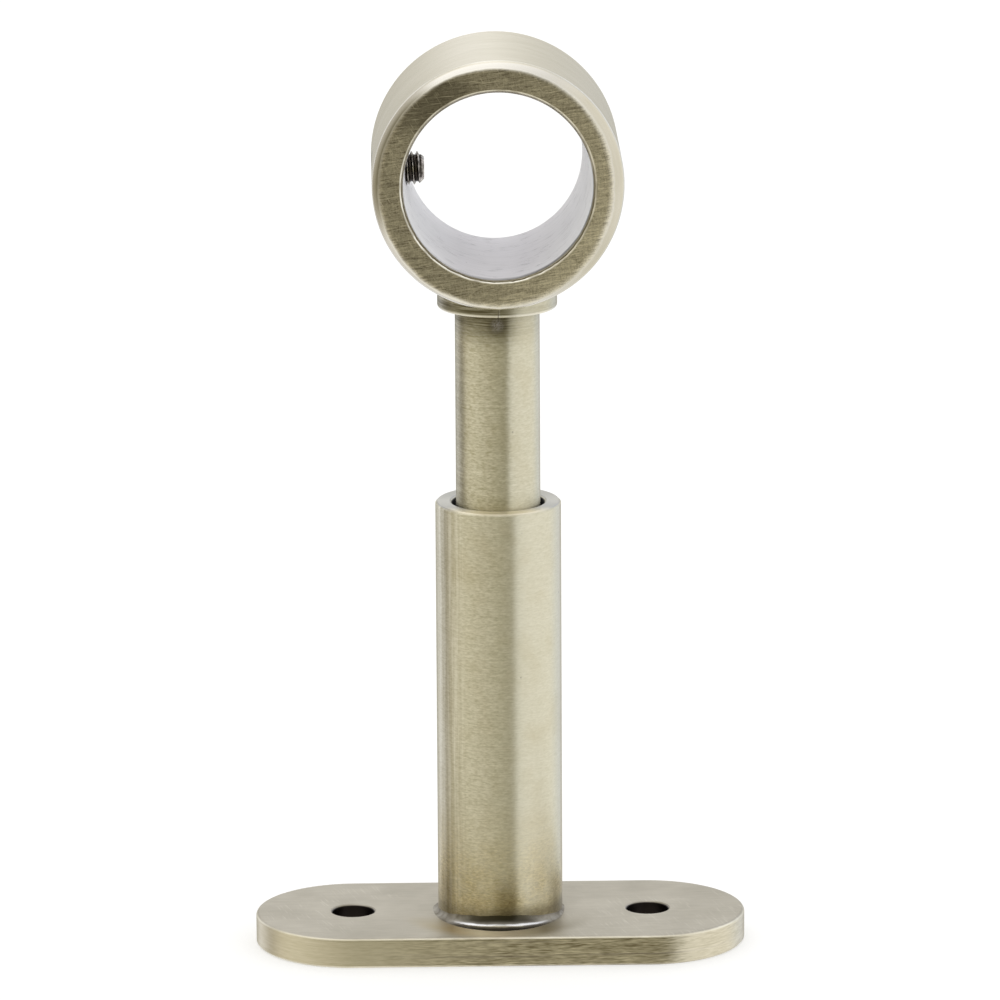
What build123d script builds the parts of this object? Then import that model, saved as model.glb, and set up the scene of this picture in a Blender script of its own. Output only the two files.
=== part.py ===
from build123d import *
from math import radians, tan
import os

# A telescopic bracket that carries a curtain pole in a ring, on a stem that slides in a tube.
# Millimetres. +Z runs along the tube, X along the fixing plate, Y along the pole, and -Y is the front.
# The origin is the middle of the plate's fixing face.

# Fixing plate: a flat bar with round ends, each fixing hole at the centre of its end.
FIXING_SPACING = 42.8
FIXING_DIAMETER = 6.1
FIXING_EDGE_BREAK = 0.25
PLATE_WIDTH = 28.2
PLATE_THICKNESS = 4.4
PLATE_EDGE_RADIUS = 0.5
PLATE_BACK_BREAK = 0.3

# Stem and tube: the bore is wider than the stem by its play, and a screw holds the stem to one side.
STEM_DIAMETER = 12.1
STEM_LENGTH = 57.0
STEM_END_CHAMFER = 0.6
STEM_PLAY = 1.25
STEM_SEAT_GAP = 0.1
TUBE_WALL = 2.35
TUBE_LENGTH = 61.2
TUBE_RIM_CHAMFER = 0.3
EXTENSION = 28.6

# Braze that joins the tube to the plate, with a blunt toe on each.
BRAZE_LEG = 0.8
BRAZE_TOE = 0.12

# Collar under the ring.
COLLAR_DIAMETER = 17.1
COLLAR_HEIGHT = 2.1
COLLAR_EDGE_RADIUS = 0.45

# Ring: cast with a draft in its bore, so that the back is the narrow end.
POLE_DIAMETER = 25.0
POLE_CLEARANCE = 0.2
BORE_DRAFT = 1.67
BORE_CHAMFER = 0.45
RING_WALL = 4.38
RING_WIDTH = 27.0
RING_BEVEL = 1.1
RING_BEVEL_SOFTENING = 0.6

# Grub screws: one pins the pole in the ring, and one locks the stem in the tube.
SCREW_DIAMETER = 4.8
SCREW_CLEARANCE = 0.05
SCREW_END_CHAMFER = 0.65
SOCKET_ACROSS_FLATS = 2.5
SOCKET_DEPTH = 2.0
POLE_SCREW_LENGTH = 6.0
POLE_SCREW_REACH = 2.7
POLE_SCREW_SET_BACK = 1.5
LOCK_SCREW_LENGTH = 4.0
LOCK_SCREW_BELOW_RIM = 8.5
LOCK_SCREW_TIP_GAP = 0.1

# Radii and levels that follow from the sizes above.
stem_radius = STEM_DIAMETER / 2
tube_bore_radius = (STEM_DIAMETER + STEM_PLAY) / 2
tube_radius = tube_bore_radius + TUBE_WALL
screw_hole_radius = SCREW_DIAMETER / 2 + SCREW_CLEARANCE
bore_length = RING_WIDTH - 2 * BORE_CHAMFER
bore_back_radius = (POLE_DIAMETER + POLE_CLEARANCE) / 2
bore_front_radius = bore_back_radius + bore_length * tan(radians(BORE_DRAFT))
bore_screw_radius = (bore_back_radius + bore_front_radius) / 2 - POLE_SCREW_SET_BACK * tan(radians(BORE_DRAFT))
ring_radius = bore_front_radius + RING_WALL

stem_y = -(tube_bore_radius - stem_radius - STEM_SEAT_GAP)
pole_screw_y = stem_y + POLE_SCREW_SET_BACK
tube_rim_z = PLATE_THICKNESS + TUBE_LENGTH
collar_z = tube_rim_z + EXTENSION
ring_z = collar_z + COLLAR_HEIGHT + ring_radius
lock_screw_z = tube_rim_z - LOCK_SCREW_BELOW_RIM


def turned(points):
    """A solid of revolution about +Z, from (radius, height) points of its half section."""
    section = make_face(Polyline(*points, close=True))
    return revolve(Plane.XZ * section, Axis.Z)


def base_plate():
    plate = extrude(SlotCenterToCenter(FIXING_SPACING, PLATE_WIDTH), amount=PLATE_THICKNESS)
    plate = fillet(plate.faces().sort_by(Axis.Z)[-1].edges(), PLATE_EDGE_RADIUS)
    plate = chamfer(plate.faces().sort_by(Axis.Z)[0].edges(), PLATE_BACK_BREAK)
    fixing = Pos(0, 0, PLATE_THICKNESS / 2) * Cylinder(FIXING_DIAMETER / 2, PLATE_THICKNESS)
    plate -= GridLocations(FIXING_SPACING, 0, 2, 1) * fixing
    hole_rims = [face.inner_wires() for face in plate.faces().filter_by(Axis.Z)]
    return chamfer([edge for wires in hole_rims for edge in wires.edges()], FIXING_EDGE_BREAK)


def outer_tube():
    tube = turned([
        (tube_bore_radius, PLATE_THICKNESS),
        (tube_radius, PLATE_THICKNESS),
        (tube_radius, tube_rim_z - TUBE_RIM_CHAMFER),
        (tube_radius - TUBE_RIM_CHAMFER, tube_rim_z),
        (tube_bore_radius + TUBE_RIM_CHAMFER, tube_rim_z),
        (tube_bore_radius, tube_rim_z - TUBE_RIM_CHAMFER),
    ])
    hole_plane = Plane(origin=(0, 0, lock_screw_z), x_dir=(1, 0, 0), z_dir=(0, 1, 0))
    return tube - extrude(hole_plane * Circle(screw_hole_radius), amount=2 * tube_radius)


def braze_fillet():
    return turned([
        (tube_radius, PLATE_THICKNESS),
        (tube_radius + BRAZE_LEG, PLATE_THICKNESS),
        (tube_radius + BRAZE_LEG, PLATE_THICKNESS + BRAZE_TOE),
        (tube_radius + BRAZE_TOE, PLATE_THICKNESS + BRAZE_LEG),
        (tube_radius, PLATE_THICKNESS + BRAZE_LEG),
    ])


def ring_blank():
    """The ring before boring: a disc with bevels softened outside, its axis on +Z and its front face down."""
    half = RING_WIDTH / 2
    section = make_face(Polyline(
        (0, -half),
        (ring_radius - RING_BEVEL, -half),
        (ring_radius, -half + RING_BEVEL),
        (ring_radius, half - RING_BEVEL),
        (ring_radius - RING_BEVEL, half),
        (0, half),
        close=True,
    ))
    outer_corners = section.vertices().group_by(Axis.X)[-1]
    return revolve(Plane.XZ * fillet(outer_corners, RING_BEVEL_SOFTENING), Axis.Z)


def ring_bore():
    """What is bored out of the ring: a drafted core with a chamfered mouth at each face, front down."""
    half = RING_WIDTH / 2
    return turned([
        (0, -half),
        (bore_front_radius + BORE_CHAMFER, -half),
        (bore_front_radius, -half + BORE_CHAMFER),
        (bore_back_radius, half - BORE_CHAMFER),
        (bore_back_radius + BORE_CHAMFER, half),
        (0, half),
    ])


def ring_stem():
    """Ring, collar and stem, cast as one piece."""
    along_pole = Plane(origin=(0, stem_y, ring_z), x_dir=(1, 0, 0), z_dir=(0, 1, 0))
    collar_radius = COLLAR_DIAMETER / 2
    stem = turned([
        (0, collar_z - STEM_LENGTH),
        (stem_radius - STEM_END_CHAMFER, collar_z - STEM_LENGTH),
        (stem_radius, collar_z - STEM_LENGTH + STEM_END_CHAMFER),
        (stem_radius, ring_z),
        (0, ring_z),
    ])
    collar = Pos(0, 0, (collar_z + ring_z) / 2) * Cylinder(collar_radius, ring_z - collar_z)
    collar = fillet(collar.edges().sort_by(Axis.Z)[0], COLLAR_EDGE_RADIUS)
    body = Pos(0, stem_y, 0) * (stem + collar)
    body = body + along_pole * ring_blank() - along_pole * ring_bore()
    screw_line = Plane(origin=(0, pole_screw_y, ring_z), x_dir=(0, 1, 0), z_dir=(-1, 0, 0))
    return body - extrude(screw_line * Circle(screw_hole_radius), amount=2 * ring_radius)


def grub_screw(length):
    """A socket grub screw on +Z, its flat point at the origin."""
    radius = SCREW_DIAMETER / 2
    screw = turned([
        (0, 0),
        (radius - SCREW_END_CHAMFER, 0),
        (radius, SCREW_END_CHAMFER),
        (radius, length - SCREW_END_CHAMFER),
        (radius - SCREW_END_CHAMFER, length),
        (0, length),
    ])
    socket = RegularPolygon(SOCKET_ACROSS_FLATS / 2, 6, major_radius=False)
    return screw - extrude(Plane.XY.offset(length) * socket, amount=-SOCKET_DEPTH)


def pole_screw():
    tip_x = -(bore_screw_radius - POLE_SCREW_REACH)
    place = Plane(origin=(tip_x, pole_screw_y, ring_z), x_dir=(0, 1, 0), z_dir=(-1, 0, 0))
    return place * grub_screw(POLE_SCREW_LENGTH)


def lock_screw():
    tip_y = stem_y + stem_radius + LOCK_SCREW_TIP_GAP
    place = Plane(origin=(0, tip_y, lock_screw_z), x_dir=(1, 0, 0), z_dir=(0, 1, 0))
    return place * grub_screw(LOCK_SCREW_LENGTH)


os.makedirs("parts", exist_ok=True)
for piece in (base_plate, outer_tube, braze_fillet, ring_stem, pole_screw, lock_screw):
    export_step(piece(), f"parts/{piece.__name__}.step")
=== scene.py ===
"""Looks of a telescopic curtain pole bracket in brushed antique brass."""

from math import ceil, cos, hypot, pi, radians, sin, tau

import bmesh
import bpy
from mathutils import Matrix, Vector, noise


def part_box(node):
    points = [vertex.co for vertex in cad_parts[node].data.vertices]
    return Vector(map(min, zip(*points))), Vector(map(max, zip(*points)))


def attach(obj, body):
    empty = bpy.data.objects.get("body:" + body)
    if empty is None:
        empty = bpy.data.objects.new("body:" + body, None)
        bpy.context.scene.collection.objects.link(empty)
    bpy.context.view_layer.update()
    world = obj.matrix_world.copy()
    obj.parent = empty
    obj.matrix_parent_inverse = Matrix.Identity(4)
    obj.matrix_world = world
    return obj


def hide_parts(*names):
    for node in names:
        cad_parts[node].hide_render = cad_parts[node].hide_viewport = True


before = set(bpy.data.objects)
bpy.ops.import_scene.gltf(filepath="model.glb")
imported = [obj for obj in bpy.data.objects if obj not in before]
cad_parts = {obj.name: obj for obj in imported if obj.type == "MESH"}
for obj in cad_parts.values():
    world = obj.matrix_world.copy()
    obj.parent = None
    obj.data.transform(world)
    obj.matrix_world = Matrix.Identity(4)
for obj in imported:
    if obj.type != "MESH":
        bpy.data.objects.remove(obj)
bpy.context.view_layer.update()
MM = 0.001

# The photograph's view, in metres and degrees.
LOOK_FROM_HEIGHT = 0.06154
CAMERA_DISTANCE = 1.0265
CAMERA_ELEVATION = 13.854
CAMERA_TURN = -1.15
CAMERA_ROLL = -0.314
AIM = Vector((0.00027, 0.0, 0.06561))
FOCAL_LENGTH = 257.3
SENSOR_WIDTH = 36.0
CLIP_END = 100.0
FLOOR_HALF_SIZE = 30.0
FLOOR_DROP = 0.00005

# Sizes that the pieces share with the solids, in millimetres.
head_low, head_high = (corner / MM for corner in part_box("ring_stem"))
RING_RADIUS = head_high.x
RING_Z = head_high.z - RING_RADIUS
RING_Y = (head_low.y + head_high.y) / 2
RING_HALF_WIDTH = (head_high.y - head_low.y) / 2
BORE_FRONT_RADIUS = 13.361
BORE_BACK_RADIUS = 12.6
BORE_CHAMFER = 0.45
RING_BEVEL = 1.1
COLLAR_RADIUS = 8.55
COLLAR_BOTTOM = 94.2
STEM_RADIUS = 6.05
STEM_BOTTOM = head_low.z
STEM_CHAMFER = 0.6
PLATE_TOP = 4.4
FIXING_X = 21.4
FIXING_RADIUS = 3.05
TUBE_RADIUS = 9.025
TUBE_BORE_RADIUS = 6.675
TUBE_RIM = 65.6
POLE_SCREW_Y = 0.975
POLE_SCREW_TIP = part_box("pole_screw")[1].x / MM
LOCK_SCREW_Z = 57.1
SCREW_HOLE_RADIUS = 2.45
LOCK_SCREW_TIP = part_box("lock_screw")[0].y / MM

# The ring's front bevel: its width on the face, and how much more was ground off to the top, to both sides
# and to the right. Its outer corner comes forward at the bottom.
GROUND = 0.985
GROUND_TO_TOP = 0.085
GROUND_TO_SIDES = 0.565
GROUND_TO_RIGHT = 0.45
FORWARD_AT_BOTTOM = 0.5

# Softened corners, and the height of the die's parting line.
FRONT_SOFTENING = 0.45
BACK_SOFTENING = 0.6
BACK_FACE_SOFTENING = 0.35
MOUTH_SOFTENING = 0.1
COLLAR_SOFTENING = 0.45
LINE_ON_RING = 0.06
LINE_ON_COLLAR = 0.1
LINE_ON_STEM = 0.05

# The collar ends inside the ring's wall, this far from the ring's axis. The screw hole is drilled from inside
# the bore, and its countersink runs past the ring.
COLLAR_REACH = 14.4
DRILL_START = 9
COUNTERSINK_DEPTH = 0.3
COUNTERSINK_PAST = 0.5
COUNTERSINK_WIDTH = 0.8

# The braze: its height and its spread, and how much more of each there is on the left and at the front.
# It is sunk into the tube and the plate.
BRAZE_HEIGHT, HEIGHT_TO_LEFT, HEIGHT_TO_FRONT = 0.55, 0.1, 1.15
BRAZE_SPREAD, SPREAD_TO_LEFT, SPREAD_TO_FRONT = 0.5, 0.2, 1.5
BRAZE_UNEVENNESS = 0.16
SUNK_IN_TUBE = 0.15
SUNK_IN_PLATE = 0.05

# The M5 grub screws, their threads as radii.
PITCH = 0.8
ROOT = 1.93
CREST = 2.38
POINT_RADIUS = 1.55
END_RADIUS = 1.75
SOCKET_ACROSS_FLATS = 2.5
SOCKET_DEPTH = 2.0
POLE_SCREW_LENGTH = 6.0
LOCK_SCREW_LENGTH = 4.0

# Two places closer than this are one place.
SAME = 1e-3


def linear(colour):
    """An sRGB hex colour as linear RGBA."""
    channels = [int(colour[i:i + 2], 16) / 255 for i in (1, 3, 5)]
    return [c / 12.92 if c <= 0.04045 else ((c + 0.055) / 1.055) ** 2.4 for c in channels] + [1.0]


def add(tree, kind, inputs=None, stops=(), **settings):
    """A new node with its settings, its inputs and the stops of its colour ramp.

    An input is a value, or the socket or node that feeds it, and a node feeds by its first output in use. A
    stop is a place and a colour, the first at 0 and the last at 1.
    """
    node = tree.nodes.new(kind)
    for name, value in settings.items():
        setattr(node, name, value)
    for socket, value in (inputs or {}).items():
        if isinstance(value, bpy.types.Node):
            value = next(output for output in value.outputs if output.enabled)
        if isinstance(value, bpy.types.NodeSocket):
            tree.links.new(value, node.inputs[socket])
        else:
            node.inputs[socket].default_value = value
    for where, _ in stops[1:-1]:
        node.color_ramp.elements.new(where)
    for index, (_, colour) in enumerate(stops):
        node.color_ramp.elements[index].color = colour
    return node


def new_material(name):
    material = bpy.data.materials.new(name)
    material.use_nodes = True
    material.node_tree.nodes.clear()
    return material, material.node_tree


# Materials. In a Map Range, inputs 1 and 2 are the range that is read, and 3 and 4 the range that is given.
# In a Mix, input 0 is the share of the second of two: numbers are 2 and 3, vectors 4 and 5, colours 6 and 7.

def brush_marks(tree, place, size, turn=(0, 0, 0), detail=4.0, bend=0.0):
    """Drawn lines: noise stretched to a mark's size along X, Y and Z, in millimetres, turned in degrees,
    and bent.

    Real brushing is finer than the finest of these marks, which are drawn as coarse as they need to be to
    show.
    """
    drawn = add(tree, "ShaderNodeMapping", {
        "Vector": place, "Rotation": [radians(t) for t in turn], "Scale": [s * MM for s in size]},
        vector_type="TEXTURE")
    return add(tree, "ShaderNodeTexNoise", {
        "Vector": drawn, "Scale": 1.0, "Detail": detail, "Roughness": 0.62, "Distortion": bend})


def lathe_lines(tree, place):
    """Lines of a lathe brush: short ones of 0.17 mm, which is coarser than real, among long ones."""
    short = brush_marks(tree, place, (0.95, 0.95, 0.17))
    long = brush_marks(tree, place, (12.0, 12.0, 0.35))
    return add(tree, "ShaderNodeMix", {0: 0.35, 2: short, 3: long})


def turned_plate(tree, place, lines, dark):
    """Colour of the brass plate between the lines: specks among them that are fewer on the right, warmer
    clouds and a few dark nicks."""
    side = add(tree, "ShaderNodeSeparateXYZ", {0: place}).outputs["X"]
    specks = brush_marks(tree, place, (0.62, 0.62, 0.24), detail=1.0)
    mottled = add(tree, "ShaderNodeMix", {0: 0.4, 2: lines, 3: specks})
    grain = add(tree, "ShaderNodeMapRange", {"Value": mottled, 1: 0.33, 2: 0.67})
    rubbed = add(tree, "ShaderNodeMapRange", {"Value": side, 1: -1 * MM, 2: 3 * MM, 3: 0.0, 4: 0.6})
    calmed = add(tree, "ShaderNodeMix", {0: rubbed, 2: grain, 3: 0.55})
    bright = add(tree, "ShaderNodeMix", {0: calmed, 6: linear(dark), 7: linear("#eee9d5")},
                 data_type="RGBA")
    cloud = add(tree, "ShaderNodeTexNoise", {"Vector": place, "Scale": 1 / (6 * MM), "Detail": 2.0})
    toned = add(tree, "ShaderNodeMapRange", {"Value": cloud, 1: 0.5, 2: 0.8, 3: 0.0, 4: 0.3})
    warm = add(tree, "ShaderNodeMix", {0: toned, 6: bright, 7: linear("#bfb28c")}, data_type="RGBA")
    cells = add(tree, "ShaderNodeTexVoronoi", {"Vector": place, "Scale": 1 / (5 * MM)})
    nick = add(tree, "ShaderNodeMapRange", {"Value": cells, 1: 0.035, 2: 0.02, 4: 0.35})
    nicked = add(tree, "ShaderNodeMix", {0: nick, 6: warm, 7: linear("#4a4434")}, data_type="RGBA")
    return nicked


def turned_shader(tree, colour, lines):
    """Brushed round: a light stretches to a band up and down the stem and the tube."""
    rough = add(tree, "ShaderNodeMapRange", {"Value": lines, 1: 0.2, 2: 0.8, 3: 0.32, 4: 0.4})
    relief = add(tree, "ShaderNodeBump", {"Height": lines, "Strength": 0.5, "Distance": 0.05 * MM})
    round_axis = add(tree, "ShaderNodeTangent", direction_type="RADIAL", axis="Z")
    shader = add(tree, "ShaderNodeBsdfPrincipled", {
        "Base Color": colour, "Metallic": 1.0, "Roughness": rough, "Anisotropic": 0.95,
        "Anisotropic Rotation": 0.25, "Tangent": round_axis, "Normal": relief})
    add(tree, "ShaderNodeOutputMaterial", {"Surface": shader})


def stem_brass():
    """Antique brass plate on cast zinc, brushed on a lathe.

    Dark patina is left where the brush doesn't reach, on the collar and just below it, most at the front;
    it also stands in for the shade under the ring there, so it is partly painted shade. A darker band down
    the left is painted shade. The collar's lower edge is worn bright and painted brighter, a painted
    highlight. The die's parting line stays dark, and where its burr was filed away, under the collar, there
    is a grey scuff in a dark patch.
    """
    material, tree = new_material("brushed_antique_brass_stem")
    place = add(tree, "ShaderNodeTexCoord").outputs["Object"]
    at = add(tree, "ShaderNodeSeparateXYZ", {0: place})
    lines = lathe_lines(tree, place)
    plate = turned_plate(tree, place, lines, "#b2ab8a")
    # Patina on the collar and just below it, weaker to the right: partly real patina, partly painted shade
    # under the ring.
    recess = add(tree, "ShaderNodeMapRange", {
        "Value": at.outputs["Z"], 1: (COLLAR_BOTTOM - 6) * MM, 2: (COLLAR_BOTTOM - 0.8) * MM},
        interpolation_type="SMOOTHSTEP")
    right = add(tree, "ShaderNodeMapRange", {
        "Value": at.outputs["X"], 1: 0.5 * MM, 2: 4 * MM, 3: 1.0, 4: 0.25}, interpolation_type="SMOOTHSTEP")
    left = add(tree, "ShaderNodeMapRange", {
        "Value": at.outputs["X"], 1: -7.5 * MM, 2: -3 * MM, 3: 0.9, 4: 1.0},
        interpolation_type="SMOOTHSTEP")
    rows = brush_marks(tree, place, (9.0, 9.0, 0.3))
    rubbed = add(tree, "ShaderNodeMapRange", {"Value": rows, 1: 0.4, 2: 0.62, 3: 1.0, 4: 0.5})
    sides = add(tree, "ShaderNodeMath", {0: right, 1: left}, operation="MULTIPLY")
    reached = add(tree, "ShaderNodeMath", {0: sides, 1: rubbed}, operation="MULTIPLY")
    dark = add(tree, "ShaderNodeMath", {0: reached, 1: recess}, operation="MULTIPLY")
    # A darker band down the stem's left side: painted shade.
    left_shade = add(tree, "ShaderNodeMapRange", {"Value": at.outputs["X"], 1: -4.3 * MM, 2: -5.4 * MM, 4: 0.42},
                interpolation_type="SMOOTHSTEP")
    streaky_left_shade = add(tree, "ShaderNodeMath", {0: left_shade, 1: rubbed}, operation="MULTIPLY")
    patina_and_shade = add(tree, "ShaderNodeMath", {0: dark, 1: streaky_left_shade}, operation="MAXIMUM")
    level = add(tree, "ShaderNodeCombineXYZ", {"X": at.outputs["X"], "Y": at.outputs["Y"]})
    from_axis = add(tree, "ShaderNodeVectorMath", {0: level, 1: (0.0, RING_Y * MM, 0.0)},
                    operation="DISTANCE")
    # The collar's lower edge made bright: worn plate and a painted highlight.
    outside = add(tree, "ShaderNodeMapRange", {
        "Value": from_axis, 1: (COLLAR_RADIUS - 0.5) * MM, 2: (COLLAR_RADIUS - 0.3) * MM})
    at_edge = add(tree, "ShaderNodeMapRange", {
        "Value": at.outputs["Z"], 1: (COLLAR_BOTTOM + 0.5) * MM, 2: (COLLAR_BOTTOM + 0.25) * MM, 4: 0.9})
    edge = add(tree, "ShaderNodeMath", {0: outside, 1: at_edge}, operation="MULTIPLY")
    from_seam = add(tree, "ShaderNodeMath", {0: at.outputs["X"]}, operation="ABSOLUTE")
    on_seam = add(tree, "ShaderNodeMapRange", {"Value": from_seam, 1: 0.13 * MM, 2: 0.03 * MM, 4: 0.65})
    low = add(tree, "ShaderNodeMapRange", {
        "Value": at.outputs["Z"], 1: (COLLAR_BOTTOM - 2.0) * MM, 2: (COLLAR_BOTTOM - 1.0) * MM})
    seam = add(tree, "ShaderNodeMath", {0: on_seam, 1: low}, operation="MULTIPLY")
    burr = (-0.1 * MM, (RING_Y - STEM_RADIUS) * MM, (COLLAR_BOTTOM - 1.6) * MM)
    from_burr = add(tree, "ShaderNodeVectorMath", {0: place, 1: burr}, operation="DISTANCE")
    shade = add(tree, "ShaderNodeMapRange", {"Value": from_burr, 1: 2.0 * MM, 2: 0.7 * MM, 4: 0.4},
                interpolation_type="SMOOTHSTEP")
    beside = add(tree, "ShaderNodeMapRange", {"Value": from_burr, 1: 1.15 * MM, 2: 0.1 * MM})
    crumbs = brush_marks(tree, place, (0.2, 0.2, 0.34), (0, 35, 0), 4.0)
    filed = add(tree, "ShaderNodeMapRange", {"Value": crumbs, 1: 0.36, 2: 0.64, 3: 0.1, 4: 0.75})
    scuff = add(tree, "ShaderNodeMath", {0: beside, 1: filed}, operation="MULTIPLY")
    colour = plate
    for share, over in ((patina_and_shade, linear("#5f583f")), (edge, linear("#f3eedd")), (seam, linear("#4b4535")),
                        (shade, linear("#4b4535")), (scuff, linear("#c4bfc2"))):
        colour = add(tree, "ShaderNodeMix", {0: share, 6: colour, 7: over}, data_type="RGBA")
    turned_shader(tree, colour, lines)
    return material


def tube_brass():
    """Antique brass plate on steel tube, brushed on a lathe, with streaks that run down its left.

    Brazing heat left the foot yellower. Brown bands down the foot, at its left edge, right of centre and at
    its right edge, are partly heat browning and partly painted shade where the tube reflects the dark room.
    The foot is darker close to the bead. The cut rim shows grey steel, paler at the front, where plate is
    burnished over it and a highlight is painted, and the bore is dark.
    """
    material, tree = new_material("brushed_antique_brass_tube")
    place = add(tree, "ShaderNodeTexCoord").outputs["Object"]
    at = add(tree, "ShaderNodeSeparateXYZ", {0: place})
    lines = lathe_lines(tree, place)
    plate = turned_plate(tree, place, lines, "#beb89b")
    cloud = add(tree, "ShaderNodeTexNoise", {"Vector": place, "Scale": 1 / (5 * MM), "Detail": 3.0})
    heat = add(tree, "ShaderNodeMapRange", {
        "Value": at.outputs["Z"], 1: (PLATE_TOP + 20) * MM, 2: (PLATE_TOP + 2) * MM},
        interpolation_type="SMOOTHSTEP")
    spread = add(tree, "ShaderNodeMapRange", {"Value": cloud, 1: 0.3, 2: 0.7, 3: 0.25, 4: 0.75})
    tint = add(tree, "ShaderNodeMath", {0: heat, 1: spread}, operation="MULTIPLY")
    specks = brush_marks(tree, place, (0.6, 0.6, 0.25), detail=2.0, bend=0.6)
    mottle = add(tree, "ShaderNodeMapRange", {"Value": specks, 1: 0.34, 2: 0.66})
    stain = add(tree, "ShaderNodeMix", {0: mottle, 6: linear("#9d8950"), 7: linear("#e0cd96")},
                data_type="RGBA")
    runs = brush_marks(tree, place, (0.55, 0.55, 24.0), detail=2.0)
    run = add(tree, "ShaderNodeMapRange", {"Value": runs, 1: 0.38, 2: 0.62})
    streak = add(tree, "ShaderNodeMix", {0: run, 6: linear("#a0977a"), 7: linear("#fffcf0")},
                 data_type="RGBA")
    front_left = add(tree, "ShaderNodeVectorMath", {0: place, 1: (-0.866, -0.5, 0.0)},
                     operation="DOT_PRODUCT")
    on_left = add(tree, "ShaderNodeMapRange", {
        "Value": front_left, 1: 0.87 * TUBE_RADIUS * MM, 2: 0.97 * TUBE_RADIUS * MM, 4: 0.26},
        interpolation_type="SMOOTHSTEP")
    # Brown bands across the foot, low on the tube: partly heat browning, partly painted shade where the tube
    # reflects the dark room.
    across = add(tree, "ShaderNodeMapRange", {
        "Value": at.outputs["X"], 1: -TUBE_RADIUS * MM, 2: TUBE_RADIUS * MM})
    browned = ((0.0, 0.0), (0.08, 0.4), (0.14, 0.0), (0.4, 0.0), (0.5, 0.45), (0.6, 0.4), (0.66, 0.0),
               (0.86, 0.0), (0.94, 0.4), (1.0, 0.0))
    licked = add(tree, "ShaderNodeValToRGB", {0: across},
                 stops=[(where, (amount, amount, amount, 1)) for where, amount in browned])
    flame = add(tree, "ShaderNodeMapRange", {
        "Value": at.outputs["Z"], 1: (PLATE_TOP + 9) * MM, 2: (PLATE_TOP + 3.5) * MM},
        interpolation_type="SMOOTHSTEP")
    scorch_and_shade = add(tree, "ShaderNodeMath", {0: licked, 1: flame}, operation="MULTIPLY")
    # Darker just above the bead, more to the right.
    near = add(tree, "ShaderNodeMapRange", {
        "Value": at.outputs["Z"], 1: (PLATE_TOP + 3.6) * MM, 2: (PLATE_TOP + 1.5) * MM},
        interpolation_type="SMOOTHSTEP")
    patchy = add(tree, "ShaderNodeMapRange", {
        "Value": at.outputs["X"], 1: -6 * MM, 2: 0.0, 3: 0.35, 4: 0.55})
    dark_above_bead = add(tree, "ShaderNodeMath", {0: near, 1: patchy}, operation="MULTIPLY")
    # The cut rim, paler at the front: burnished plate and a painted highlight.
    cut = add(tree, "ShaderNodeMapRange", {
        "Value": at.outputs["Z"], 1: (TUBE_RIM - 0.22) * MM, 2: (TUBE_RIM - 0.06) * MM, 3: 0.0, 4: 0.9})
    front = add(tree, "ShaderNodeMapRange", {"Value": at.outputs["Y"], 1: -4 * MM, 2: -7 * MM})
    rim = add(tree, "ShaderNodeMix", {0: front, 6: linear("#bebdb9"), 7: linear("#f3ebd4")},
              data_type="RGBA")
    level = add(tree, "ShaderNodeCombineXYZ", {"X": at.outputs["X"], "Y": at.outputs["Y"]})
    radius = add(tree, "ShaderNodeVectorMath", {0: level}, operation="LENGTH")
    inside = add(tree, "ShaderNodeMapRange", {
        "Value": radius, 1: (TUBE_BORE_RADIUS + 0.12) * MM, 2: (TUBE_BORE_RADIUS + 0.02) * MM})
    colour = plate
    for share, over in ((on_left, streak), (tint, stain), (scorch_and_shade, linear("#6b5b3c")),
                        (dark_above_bead, linear("#4a4434")), (cut, rim), (inside, linear("#2b2822"))):
        colour = add(tree, "ShaderNodeMix", {0: share, 6: colour, 7: over}, data_type="RGBA")
    turned_shader(tree, colour, lines)
    return material


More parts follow.
